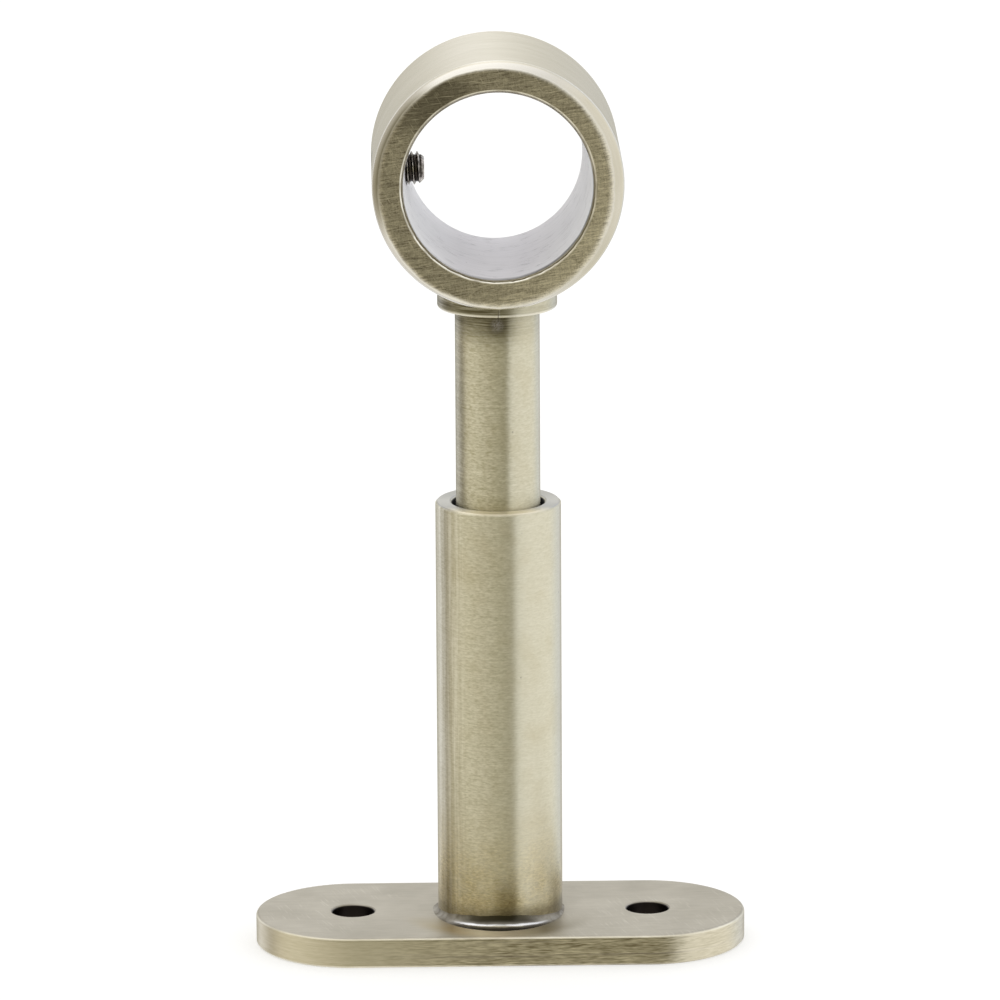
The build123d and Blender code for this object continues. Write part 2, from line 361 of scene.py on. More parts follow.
def ring_brass():
    """The same plate on the ring: brushed round outside, with bevels that were ground by hand.

    The bevels keep patina on the left, darkened further there as painted shade, and are painted paler at the
    top and bottom, a painted highlight. Their corners are worn bright and painted brighter still as
    highlights. The two flat faces were linished on a belt and keep dark patina under short scratches that
    cross, and are darker towards the upper left.
    """
    material, tree = new_material("brushed_antique_brass_ring")
    place = add(tree, "ShaderNodeTexCoord").outputs["Object"]
    at = add(tree, "ShaderNodeSeparateXYZ", {0: place})
    from_mid = add(tree, "ShaderNodeMath", {0: at.outputs["Y"], 1: -RING_Y * MM}, operation="ADD")
    inset = add(tree, "ShaderNodeMath", {0: from_mid}, operation="ABSOLUTE")
    lines = brush_marks(tree, place, (10.0, 0.4, 10.0))
    bands = brush_marks(tree, place, (16.0, 4.0, 16.0))
    hatch = brush_marks(tree, place, (3.0, 3.0, 0.16), (0, -10, 0), 3.0, 1.2)
    for angle, length in ((34, 1.6), (-43, 1.6), (82, 1.4)):
        crossing = brush_marks(tree, place, (length, length, 0.16), (0, angle, 0), 3.0, 1.2)
        hatch = add(tree, "ShaderNodeMix", {0: 0.22, 2: hatch, 3: crossing})
    wobble = add(tree, "ShaderNodeTexNoise", {"Vector": place, "Scale": 1 / (1.6 * MM), "Detail": 2.0})
    wear = add(tree, "ShaderNodeMapRange", {"Value": wobble, 1: 0.25, 2: 0.75, 3: -0.05 * MM, 4: 0.05 * MM})
    worn_inset = add(tree, "ShaderNodeMath", {0: inset, 1: wear}, operation="ADD")
    low_left = add(tree, "ShaderNodeVectorMath", {0: place, 1: (-0.342, 0.0, -0.94)},
                   operation="DOT_PRODUCT")
    narrow = add(tree, "ShaderNodeMapRange", {
        "Value": low_left, 1: (0.93 * RING_RADIUS - 0.94 * RING_Z) * MM,
        2: (0.97 * RING_RADIUS - 0.94 * RING_Z) * MM, 3: 0.0, 4: 0.13 * MM})
    face_inset = add(tree, "ShaderNodeMath", {0: worn_inset, 1: narrow}, operation="SUBTRACT")
    face = add(tree, "ShaderNodeMapRange", {
        "Value": face_inset, 1: (RING_HALF_WIDTH - 0.32) * MM, 2: (RING_HALF_WIDTH - 0.02) * MM},
        interpolation_type="SMOOTHSTEP")
    brushed = add(tree, "ShaderNodeMix", {0: 0.6, 2: lines, 3: bands})
    round_lines = add(tree, "ShaderNodeMapRange", {"Value": brushed, 1: 0.3, 2: 0.7})
    outer = add(tree, "ShaderNodeMix", {0: round_lines, 6: linear("#d1cab5"), 7: linear("#e2dccc")},
                data_type="RGBA")
    on_bevel = add(tree, "ShaderNodeMapRange", {
        "Value": inset, 1: (RING_HALF_WIDTH - 1.15) * MM, 2: (RING_HALF_WIDTH - 0.8) * MM},
        interpolation_type="SMOOTHSTEP")
    # The bevel keeps patina towards the upper left, and is darker there as painted shade.
    to_left = add(tree, "ShaderNodeVectorMath", {0: place, 1: (-0.95, 0.0, 0.312)}, operation="DOT_PRODUCT")
    left_shade_and_patina = add(tree, "ShaderNodeMapRange", {
        "Value": to_left, 1: (0.312 * RING_Z + 0.7 * RING_RADIUS) * MM,
        2: (0.312 * RING_Z + 0.95 * RING_RADIUS) * MM, 3: 0.12, 4: 0.82},
        interpolation_type="SMOOTHSTEP")
    deeper = add(tree, "ShaderNodeMapRange", {
        "Value": inset, 1: (RING_HALF_WIDTH - 1.0) * MM, 2: (RING_HALF_WIDTH - 0.35) * MM, 3: 0.3, 4: 1.1})
    ground = add(tree, "ShaderNodeMath", {0: on_bevel, 1: deeper}, operation="MULTIPLY")
    kept_patina_and_shade = add(tree, "ShaderNodeMath", {0: ground, 1: left_shade_and_patina}, operation="MULTIPLY")
    # The bevel is painted paler towards its top and bottom: a painted highlight.
    rise = add(tree, "ShaderNodeMath", {0: at.outputs["Z"], 1: -RING_Z * MM}, operation="ADD")
    height = add(tree, "ShaderNodeMath", {0: rise}, operation="ABSOLUTE")
    leftward = add(tree, "ShaderNodeMath", {0: at.outputs["X"], 1: -0.4, 2: height},
                   operation="MULTIPLY_ADD")
    sheen_top_and_bottom = add(tree, "ShaderNodeMapRange", {"Value": leftward, 1: 7 * MM, 2: 14 * MM, 4: 0.72})
    paler = add(tree, "ShaderNodeMath", {0: on_bevel, 1: sheen_top_and_bottom}, operation="MULTIPLY")
    pale = add(tree, "ShaderNodeMix", {0: paler, 6: outer, 7: linear("#efece6")}, data_type="RGBA")
    bevel = add(tree, "ShaderNodeMix", {0: kept_patina_and_shade, 6: pale, 7: linear("#6d654d")}, data_type="RGBA")
    lit = bevel
    rubbed = add(tree, "ShaderNodeMapRange", {"Value": brushed, 1: 0.35, 2: 0.6, 3: 0.4, 4: 0.95})
    # Thin bright lines along the bevels' corners: worn edges, and painted highlights where the corners catch
    # the light.
    for corner, reach, most in ((1.45, 0.3, 1.0), (0.18, 0.2, 0.4)):
        away = add(tree, "ShaderNodeMath", {0: worn_inset, 1: (RING_HALF_WIDTH - corner) * MM},
                   operation="SUBTRACT")
        apart = add(tree, "ShaderNodeMath", {0: away}, operation="ABSOLUTE")
        ridge = add(tree, "ShaderNodeMapRange", {
            "Value": apart, 1: reach * MM, 2: 0.3 * reach * MM, 4: most})
        bare = add(tree, "ShaderNodeMath", {0: ridge, 1: rubbed}, operation="MULTIPLY")
        lit = add(tree, "ShaderNodeMix", {0: bare, 6: lit, 7: linear("#fbf8ee")}, data_type="RGBA")
    # The faces are darker towards the upper left and lighter towards the lower right.
    slant = add(tree, "ShaderNodeVectorMath", {0: place, 1: (0.94, 0.0, -0.342)}, operation="DOT_PRODUCT")
    across = add(tree, "ShaderNodeMapRange", {
        "Value": slant, 1: (-0.342 * RING_Z - 1) * MM, 2: (-0.342 * RING_Z + 15.2) * MM})
    low = add(tree, "ShaderNodeMix", {0: across, 6: linear("#787060"), 7: linear("#9f9781")},
              data_type="RGBA")
    high = add(tree, "ShaderNodeMix", {0: across, 6: linear("#cec6ae"), 7: linear("#f6edd3")},
               data_type="RGBA")
    hatched = add(tree, "ShaderNodeMapRange", {"Value": hatch, 1: 0.41, 2: 0.59})
    patina = add(tree, "ShaderNodeMix", {0: hatched, 6: low, 7: high}, data_type="RGBA")
    # A darker spot at the upper left of the faces.
    spot = (-9.1 * MM, (RING_Y - RING_HALF_WIDTH) * MM, (RING_Z + 12.1) * MM)
    from_spot = add(tree, "ShaderNodeVectorMath", {0: place, 1: spot}, operation="DISTANCE")
    dark_spot = add(tree, "ShaderNodeMapRange", {"Value": from_spot, 1: 8.5 * MM, 2: 2 * MM, 4: 0.62},
                 interpolation_type="SMOOTHSTEP")
    patina = add(tree, "ShaderNodeMix", {0: dark_spot, 6: patina, 7: linear("#4a4434")}, data_type="RGBA")
    for angle, length in ((-4, 2.2), (58, 1.8)):
        stroke = brush_marks(tree, place, (length, length, 0.13), (0, angle, 0), 0.0)
        scratch = add(tree, "ShaderNodeMapRange", {"Value": stroke, 1: 0.7, 2: 0.82, 3: 0.0, 4: 0.5})
        patina = add(tree, "ShaderNodeMix", {0: scratch, 6: patina, 7: linear("#e6dec6")}, data_type="RGBA")
    colour = add(tree, "ShaderNodeMix", {0: face, 6: lit, 7: patina}, data_type="RGBA")
    marks = add(tree, "ShaderNodeMix", {0: face, 2: lines, 3: hatch})
    relief = add(tree, "ShaderNodeBump", {"Height": marks, "Strength": 0.4, "Distance": 0.02 * MM})
    along = add(tree, "ShaderNodeMix", {0: face, 4: (0.0, 1.0, 0.05), 5: (0.1, 0.0, 1.0)},
                data_type="VECTOR")
    rough = add(tree, "ShaderNodeMapRange", {"Value": face, 3: 0.27, 4: 0.4})
    shader = add(tree, "ShaderNodeBsdfPrincipled", {
        "Base Color": colour, "Metallic": 1.0, "Roughness": rough, "Anisotropic": 0.4, "Tangent": along,
        "Normal": relief})
    add(tree, "ShaderNodeOutputMaterial", {"Surface": shader})
    return material


def cut_edge():
    """The chamfers of the bore, cut through the plate by a tool: a bright ragged corner at the face, patina
    in the middle and a duller corner at the bore, paler at the top and dirty in patches."""
    material, tree = new_material("cut_brass_edge")
    place = add(tree, "ShaderNodeTexCoord").outputs["Object"]
    at = add(tree, "ShaderNodeSeparateXYZ", {0: place})
    from_mid = add(tree, "ShaderNodeMath", {0: at.outputs["Y"], 1: -RING_Y * MM}, operation="ADD")
    inset = add(tree, "ShaderNodeMath", {0: from_mid}, operation="ABSOLUTE")
    ragged = add(tree, "ShaderNodeTexNoise", {"Vector": place, "Scale": 1 / (1.1 * MM), "Detail": 4.0})
    strays = add(tree, "ShaderNodeMapRange", {
        "Value": ragged, 1: 0.25, 2: 0.75, 3: -0.07 * MM, 4: 0.07 * MM})
    worn = add(tree, "ShaderNodeMath", {0: inset, 1: strays}, operation="ADD")
    depth = add(tree, "ShaderNodeMapRange", {
        "Value": worn, 1: (RING_HALF_WIDTH - BORE_CHAMFER) * MM, 2: RING_HALF_WIDTH * MM})
    # From the bore to the face: a duller corner, patina, then a bright ragged corner at the face, which is
    # cut metal and a painted highlight.
    tones = ((0.0, "#a39d8c"), (0.25, "#a39d8c"), (0.36, "#5a533e"), (0.58, "#5a533e"), (0.7, "#f4efe1"),
             (1.0, "#f4efe1"))
    colour = add(tree, "ShaderNodeValToRGB", {0: depth},
                 stops=[(where, linear(tone)) for where, tone in tones])
    # Paler towards the top: painted light.
    upper = add(tree, "ShaderNodeMapRange", {
        "Value": at.outputs["Z"], 1: (RING_Z - 2) * MM, 2: (RING_Z + 6) * MM, 4: 0.7})
    paler = add(tree, "ShaderNodeMix", {0: upper, 6: colour, 7: linear("#cfc8b4")}, data_type="RGBA")
    patch = add(tree, "ShaderNodeTexNoise", {"Vector": place, "Scale": 1 / (2.2 * MM), "Detail": 3.0})
    dirty = add(tree, "ShaderNodeMapRange", {"Value": patch, 1: 0.42, 2: 0.62, 3: 0.0, 4: 0.6})
    broken = add(tree, "ShaderNodeMix", {0: dirty, 6: paler, 7: linear("#867e66")}, data_type="RGBA")
    shader = add(tree, "ShaderNodeBsdfPrincipled", {
        "Base Color": broken, "Metallic": 1.0, "Roughness": 0.3})
    add(tree, "ShaderNodeOutputMaterial", {"Surface": shader})
    return material


def plate_brass():
    """The same plate on flat bar: a satin top with a few scratches, tinted by brazing heat in front of the
    tube.

    The edges were linished lengthwise, with patina at the middle and right of the front, and the right end is
    lighter, a painted reflection. The top corner is worn bright and painted brighter, a painted highlight,
    and the drilled holes show raw dark steel. The heat tint carries a painted highlight just in front of the
    tube, and is darker to its right front.
    """
    material, tree = new_material("brushed_antique_brass_plate")
    place = add(tree, "ShaderNodeTexCoord").outputs["Object"]
    at = add(tree, "ShaderNodeSeparateXYZ", {0: place})
    top = add(tree, "ShaderNodeMapRange", {
        "Value": at.outputs["Z"], 1: (PLATE_TOP - 0.2) * MM, 2: (PLATE_TOP - 0.02) * MM},
        interpolation_type="SMOOTHSTEP")
    lines = brush_marks(tree, place, (2.4, 2.4, 0.19))
    long = brush_marks(tree, place, (24.0, 24.0, 0.3))
    satin = brush_marks(tree, place, (3.0, 0.35, 3.0))
    cloud = add(tree, "ShaderNodeTexNoise", {"Vector": place, "Scale": 1 / (7 * MM), "Detail": 3.0})
    specks = brush_marks(tree, place, (1.5, 1.5, 0.16), detail=1.0)
    drawn = add(tree, "ShaderNodeMix", {0: 0.5, 2: lines, 3: long})
    speckled = add(tree, "ShaderNodeMix", {0: 0.3, 2: drawn, 3: specks})
    grain = add(tree, "ShaderNodeMapRange", {"Value": speckled, 1: 0.39, 2: 0.61})
    # Patina along the middle of the front edge; the lighter right end is a painted reflection.
    from_left = add(tree, "ShaderNodeMapRange", {"Value": at.outputs["X"], 1: -24 * MM, 2: 4 * MM},
                    interpolation_type="SMOOTHSTEP")
    to_right = add(tree, "ShaderNodeMapRange", {"Value": at.outputs["X"], 1: 28 * MM, 2: 23 * MM, 3: 0.2},
                   interpolation_type="SMOOTHSTEP")
    patina_and_shade = add(tree, "ShaderNodeMath", {0: from_left, 1: to_right}, operation="MULTIPLY")
    low = add(tree, "ShaderNodeMix", {0: patina_and_shade, 6: linear("#d2cab0"), 7: linear("#867c61")},
              data_type="RGBA")
    high = add(tree, "ShaderNodeMix", {0: patina_and_shade, 6: linear("#e1d9c3"), 7: linear("#ebe2c7")},
               data_type="RGBA")
    edge = add(tree, "ShaderNodeMix", {0: grain, 6: low, 7: high}, data_type="RGBA")
    streak = add(tree, "ShaderNodeMapRange", {"Value": long, 1: 0.53, 2: 0.63, 3: 0.0, 4: 0.65})
    browned = add(tree, "ShaderNodeMath", {0: streak, 1: patina_and_shade}, operation="MULTIPLY")
    streaked = add(tree, "ShaderNodeMix", {0: browned, 6: edge, 7: linear("#665952")}, data_type="RGBA")
    # The top corner is worn bright and painted brighter: wear and a painted highlight.
    corner = add(tree, "ShaderNodeMapRange", {
        "Value": at.outputs["Z"], 1: (PLATE_TOP - 0.42) * MM, 2: (PLATE_TOP - 0.22) * MM},
        interpolation_type="SMOOTHSTEP")
    rubbed = add(tree, "ShaderNodeMapRange", {"Value": cloud, 1: 0.35, 2: 0.65, 3: 0.25, 4: 0.95})
    bare = add(tree, "ShaderNodeMath", {0: corner, 1: rubbed}, operation="MULTIPLY")
    side = add(tree, "ShaderNodeMix", {0: bare, 6: streaked, 7: linear("#f3eedd")}, data_type="RGBA")
    clouded = add(tree, "ShaderNodeMapRange", {"Value": cloud, 1: 0.3, 2: 0.7})
    uneven = add(tree, "ShaderNodeMix", {0: 0.35, 2: satin, 3: clouded})
    flat = add(tree, "ShaderNodeMix", {0: uneven, 6: linear("#a5a094"), 7: linear("#cac5ba")},
               data_type="RGBA")
    strokes = brush_marks(tree, place, (0.24, 4.5, 4.5), (0, 0, 17), 1.0)
    drift = add(tree, "ShaderNodeTexNoise", {"Vector": place, "Scale": 1 / (11 * MM), "Detail": 1.0})
    on_line = add(tree, "ShaderNodeMapRange", {"Value": strokes, 1: 0.58, 2: 0.78})
    patch = add(tree, "ShaderNodeMapRange", {"Value": drift, 1: 0.5, 2: 0.62, 3: 0.0, 4: 0.45})
    scratch = add(tree, "ShaderNodeMath", {0: on_line, 1: patch}, operation="MULTIPLY")
    scratched = add(tree, "ShaderNodeMix", {0: scratch, 6: flat, 7: linear("#e2ded4")}, data_type="RGBA")
    level = add(tree, "ShaderNodeCombineXYZ", {"X": at.outputs["X"], "Y": at.outputs["Y"]})
    from_tube = add(tree, "ShaderNodeVectorMath", {0: level}, operation="LENGTH")
    heat = add(tree, "ShaderNodeMapRange", {
        "Value": from_tube, 1: (TUBE_RADIUS + 6.5) * MM, 2: (TUBE_RADIUS + 3.5) * MM},
        interpolation_type="SMOOTHSTEP")
    in_front = add(tree, "ShaderNodeMapRange", {
        "Value": at.outputs["Y"], 1: -3 * MM, 2: -9 * MM, 3: 0.0, 4: 0.8})
    warmed = add(tree, "ShaderNodeMath", {0: heat, 1: in_front}, operation="MULTIPLY")
    # Heat tint in front of the tube, with a painted highlight just in front of it and darker to its right
    # front.
    along_front = add(tree, "ShaderNodeMapRange", {"Value": at.outputs["X"], 1: -9 * MM, 2: 9 * MM})
    tones = ((0.0, "#b0a488"), (0.1, "#ab9872"), (0.33, "#f6ecd2"), (0.5, "#e8dcc0"), (0.85, "#7f755d"),
             (1.0, "#a09a8c"))
    heat_tint_and_highlight = add(tree, "ShaderNodeValToRGB", {0: along_front},
                 stops=[(where, linear(tone)) for where, tone in tones])
    heated = add(tree, "ShaderNodeMix", {0: warmed, 6: scratched, 7: heat_tint_and_highlight}, data_type="RGBA")
    outside = add(tree, "ShaderNodeMix", {0: top, 6: side, 7: heated}, data_type="RGBA")
    from_mid = add(tree, "ShaderNodeMath", {0: at.outputs["X"]}, operation="ABSOLUTE")
    from_hole = add(tree, "ShaderNodeMath", {0: from_mid, 1: -FIXING_X * MM}, operation="ADD")
    round_hole = add(tree, "ShaderNodeCombineXYZ", {"X": from_hole, "Y": at.outputs["Y"]})
    radius = add(tree, "ShaderNodeVectorMath", {0: round_hole}, operation="LENGTH")
    inside = add(tree, "ShaderNodeMapRange", {
        "Value": radius, 1: (FIXING_RADIUS + 0.2) * MM, 2: (FIXING_RADIUS + 0.05) * MM})
    colour = add(tree, "ShaderNodeMix", {0: inside, 6: outside, 7: linear("#3a3431")}, data_type="RGBA")
    along = add(tree, "ShaderNodeMix", {0: top, 4: (0.02, 0.03, 1.0), 5: (0.02, 1.0, 0.0)},
                data_type="VECTOR")
    rough = add(tree, "ShaderNodeMapRange", {"Value": top, 3: 0.36, 4: 0.5})
    marks = add(tree, "ShaderNodeMix", {0: top, 2: drawn, 3: satin})
    relief = add(tree, "ShaderNodeBump", {"Height": marks, "Strength": 0.18, "Distance": 0.02 * MM})
    shader = add(tree, "ShaderNodeBsdfPrincipled", {
        "Base Color": colour, "Metallic": 1.0, "Roughness": rough, "Anisotropic": 0.6, "Tangent": along,
        "Normal": relief})
    add(tree, "ShaderNodeOutputMaterial", {"Surface": shader})
    return material


def bare_zinc():
    """Cast zinc as it left the die, where no brass plate reached: its thin oxide is matt, pale and a little
    lilac.

    A pole drew dark scuffs and specks round it. A dark line shows where the plate stops, and the drilled
    screw hole is darker metal. The bore is painted lighter on its left and right walls, most on the left:
    painted light.
    """
    material, tree = new_material("cast_zinc_bare")
    place = add(tree, "ShaderNodeTexCoord").outputs["Object"]
    at = add(tree, "ShaderNodeSeparateXYZ", {0: place})
    lines = brush_marks(tree, place, (7.0, 0.5, 7.0))
    cloud = add(tree, "ShaderNodeTexNoise", {"Vector": place, "Scale": 1 / (3 * MM), "Detail": 3.0})
    # Lighter towards the bore's left and right walls, most on the left: painted light.
    across = add(tree, "ShaderNodeMapRange", {"Value": at.outputs["X"], 1: -13 * MM, 2: 13 * MM})
    tones = ((0.0, "#ffffff"), (0.3, "#e3e1e5"), (0.65, "#dfdde2"), (1.0, "#f6f6f7"))
    oxide = add(tree, "ShaderNodeValToRGB", {0: across},
                stops=[(where, linear(tone)) for where, tone in tones])
    worn = add(tree, "ShaderNodeMapRange", {"Value": lines, 1: 0.3, 2: 0.6, 3: 0.12, 4: 0.0})
    drawn = brush_marks(tree, place, (2.2, 0.2, 2.2), detail=2.0, bend=0.4)
    thin = add(tree, "ShaderNodeMapRange", {"Value": drawn, 1: 0.56, 2: 0.68})
    patch = add(tree, "ShaderNodeMapRange", {"Value": cloud, 1: 0.48, 2: 0.62, 3: 0.0, 4: 0.55})
    scuff = add(tree, "ShaderNodeMath", {0: thin, 1: patch}, operation="MULTIPLY")
    cells = add(tree, "ShaderNodeTexVoronoi", {"Vector": place, "Scale": 1 / (1.3 * MM)})
    dot = add(tree, "ShaderNodeMapRange", {"Value": cells, 1: 0.13, 2: 0.06, 4: 0.5})
    some = add(tree, "ShaderNodeMapRange", {"Value": lines, 1: 0.5, 2: 0.58})
    speck = add(tree, "ShaderNodeMath", {0: dot, 1: some}, operation="MULTIPLY")
    stop = (RING_Y - RING_HALF_WIDTH + BORE_CHAMFER) * MM
    ragged = add(tree, "ShaderNodeMapRange", {"Value": cloud, 1: 0.3, 2: 0.7, 3: -0.25 * MM, 4: 0.25 * MM})
    depth = add(tree, "ShaderNodeMath", {0: at.outputs["Y"], 1: ragged}, operation="ADD")
    band = add(tree, "ShaderNodeMapRange", {"Value": depth, 1: stop + 1.3 * MM, 2: stop + 0.5 * MM})
    worse = add(tree, "ShaderNodeMapRange", {
        "Value": at.outputs["X"], 1: -8 * MM, 2: 6 * MM, 3: 0.2, 4: 0.85})
    at_plate = add(tree, "ShaderNodeMath", {0: band, 1: worse}, operation="MULTIPLY")
    drilled = add(tree, "ShaderNodeMapRange", {
        "Value": at.outputs["X"], 1: -BORE_FRONT_RADIUS * MM, 2: (-BORE_FRONT_RADIUS - 0.5) * MM, 4: 0.85})
    colour = oxide
    for share, over in ((worn, linear("#a2a2a6")), (scuff, linear("#4a4a4e")),
                        (speck, linear("#6a6a6e")), (at_plate, linear("#3d3a33")),
                        (drilled, linear("#6f6c66"))):
        colour = add(tree, "ShaderNodeMix", {0: share, 6: colour, 7: over}, data_type="RGBA")
    rough = add(tree, "ShaderNodeMapRange", {"Value": cloud, 3: 0.4, 4: 0.55})
    relief = add(tree, "ShaderNodeBump", {"Height": cloud, "Strength": 0.2, "Distance": 0.03 * MM})
    shader = add(tree, "ShaderNodeBsdfPrincipled", {
        "Base Color": colour, "Metallic": 0.2, "Roughness": rough, "Normal": relief})
    add(tree, "ShaderNodeOutputMaterial", {"Surface": shader})
    return material


def silver_braze():
    """Silver braze left as it flowed. From the top of the fillet down, which its "rise" attribute gives, it
    is dark near the tube, then a narrow bright band that is a painted highlight, and grey at its toe. The
    bright band shows only at the front. Round the sides it is dull with flux."""
    material, tree = new_material("silver_braze_as_flowed")
    place = add(tree, "ShaderNodeTexCoord").outputs["Object"]
    at = add(tree, "ShaderNodeSeparateXYZ", {0: place})
    rise = add(tree, "ShaderNodeAttribute", attribute_name="rise").outputs["Fac"]
    flux = add(tree, "ShaderNodeTexNoise", {"Vector": place, "Scale": 1 / (1.8 * MM), "Detail": 3.0})
    stray = add(tree, "ShaderNodeMapRange", {"Value": flux, 1: 0.3, 2: 0.7, 3: -0.03, 4: 0.03})
    level = add(tree, "ShaderNodeMath", {0: rise, 1: stray}, operation="ADD")
    # From toe to top: grey, a narrow bright band that is a painted highlight, then darker towards the tube.
    tones = ((0.0, "#6f695c"), (0.04, "#77767a"), (0.13, "#8d8d93"), (0.18, "#efeff2"), (0.25, "#e4e4e6"),
             (0.34, "#6b675e"), (0.5, "#433f36"), (1.0, "#4a4535"))
    flowed = add(tree, "ShaderNodeValToRGB", {0: level},
                 stops=[(where, linear(tone)) for where, tone in tones])
    patchy = add(tree, "ShaderNodeMapRange", {"Value": flux, 1: 0.35, 2: 0.65})
    dull = add(tree, "ShaderNodeMix", {0: patchy, 6: linear("#857f73"), 7: linear("#b2aea5")},
               data_type="RGBA")
    # The banded look, with its painted highlight, shows only at the front.
    front = add(tree, "ShaderNodeMapRange", {"Value": at.outputs["Y"], 1: -6.0 * MM, 2: -8.8 * MM},
                interpolation_type="SMOOTHSTEP")
    colour = add(tree, "ShaderNodeMix", {0: front, 6: dull, 7: flowed}, data_type="RGBA")
    rough = add(tree, "ShaderNodeMapRange", {"Value": front, 3: 0.55, 4: 0.2})
    relief = add(tree, "ShaderNodeBump", {"Height": flux, "Strength": 0.12, "Distance": 0.05 * MM})
    shader = add(tree, "ShaderNodeBsdfPrincipled", {
        "Base Color": colour, "Metallic": 1.0, "Roughness": rough, "Normal": relief})
    add(tree, "ShaderNodeOutputMaterial", {"Surface": shader})
    return material


def oxided_steel():
    """Hardened steel with a black oxide finish, rolled threads rubbed to bare steel at their crests, which
    the "crest" attribute gives. The bright crests and the point's chamfer are partly wear and partly painted
    highlights."""
    material, tree = new_material("steel_black_oxide")
    place = add(tree, "ShaderNodeTexCoord").outputs["Object"]
    cloud = add(tree, "ShaderNodeTexNoise", {"Vector": place, "Scale": 1 / (0.7 * MM), "Detail": 3.0})
    crest = add(tree, "ShaderNodeAttribute", attribute_name="crest").outputs["Fac"]
    # Bright crests and point: bare steel, and painted highlights.
    rubbed = add(tree, "ShaderNodeMapRange", {"Value": cloud, 1: 0.38, 2: 0.62, 3: 0.15, 4: 1.0})
    tip = add(tree, "ShaderNodeMapRange", {"Value": crest, 1: 0.15, 2: 1.0})
    bare = add(tree, "ShaderNodeMath", {0: tip, 1: rubbed}, operation="MULTIPLY")
    colour = add(tree, "ShaderNodeMix", {0: bare, 6: linear("#453f39"), 7: linear("#e6e0d6")},
                 data_type="RGBA")
    rough = add(tree, "ShaderNodeMapRange", {"Value": cloud, 3: 0.16, 4: 0.32})
    shader = add(tree, "ShaderNodeBsdfPrincipled", {
        "Base Color": colour, "Metallic": 1.0, "Roughness": rough})
    add(tree, "ShaderNodeOutputMaterial", {"Surface": shader})
    return material


# Pieces, modelled in millimetres.

def spun(section, centre, axis, steps, closed):
    """A skin spun a full turn from the points of a half section."""
    bm = bmesh.new()
    points = [bm.verts.new(point) for point in section]
    pairs = list(zip(points, points[1:])) + ([(points[-1], points[0])] if closed else [])
    edges = [bm.edges.new(pair) for pair in pairs]
    bmesh.ops.spin(bm, geom=points + edges, cent=centre, axis=axis, angle=tau, steps=steps, use_merge=True)
    bmesh.ops.remove_doubles(bm, verts=bm.verts, dist=1e-5)
    bmesh.ops.recalc_face_normals(bm, faces=bm.faces)
    return bm


def soften(bm, width, segments, is_on):
    """Rounds the edges whose two ends are both on a loop."""
    edges = [edge for edge in bm.edges if all(is_on(v.co) for v in edge.verts)]
    bmesh.ops.bevel(bm, geom=edges, offset=width, offset_type="OFFSET", segments=segments, profile=0.5,
                    affect="EDGES", material=-1, clamp_overlap=True)


def blank(bm, name):
    mesh = bpy.data.meshes.new(name)
    bm.to_mesh(mesh)
    bm.free()
    made = bpy.data.objects.new(name, mesh)
    bpy.context.scene.collection.objects.link(made)
    return made


def apply_modifiers(piece):
    bpy.context.view_layer.update()
    shape = bpy.data.meshes.new_from_object(piece.evaluated_get(bpy.context.evaluated_depsgraph_get()))
    piece.modifiers.clear()
    piece.data = shape


def combine(body, tool, operation):
    """Adds or cuts a tool's shape, removes the tool, and merges the slivers that are left."""
    boolean = body.modifiers.new("boolean", "BOOLEAN")
    boolean.object, boolean.operation, boolean.solver = tool, operation, "EXACT"
    apply_modifiers(body)
    bpy.data.objects.remove(tool)
    bm = bmesh.new()
    bm.from_mesh(body.data)
    bmesh.ops.remove_doubles(bm, verts=bm.verts, dist=SAME)
    bmesh.ops.dissolve_degenerate(bm, edges=bm.edges, dist=SAME)
    bmesh.ops.recalc_face_normals(bm, faces=bm.faces)
    bm.to_mesh(body.data)
    bm.free()


def finish_piece(piece, body, node, materials, sharp=32):
    """Brings a piece to metres, smooths it, and puts it in the frame in place of its solid."""
    piece.data.transform(Matrix.Scale(MM, 4))
    for material in materials:
        piece.data.materials.append(material)
    piece.data.shade_smooth()
    piece.data.set_sharp_from_angle(angle=radians(sharp))
    flats = piece.modifiers.new("flats", "WEIGHTED_NORMAL")
    flats.keep_sharp = True
    apply_modifiers(piece)
    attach(piece, body)
    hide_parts(node)


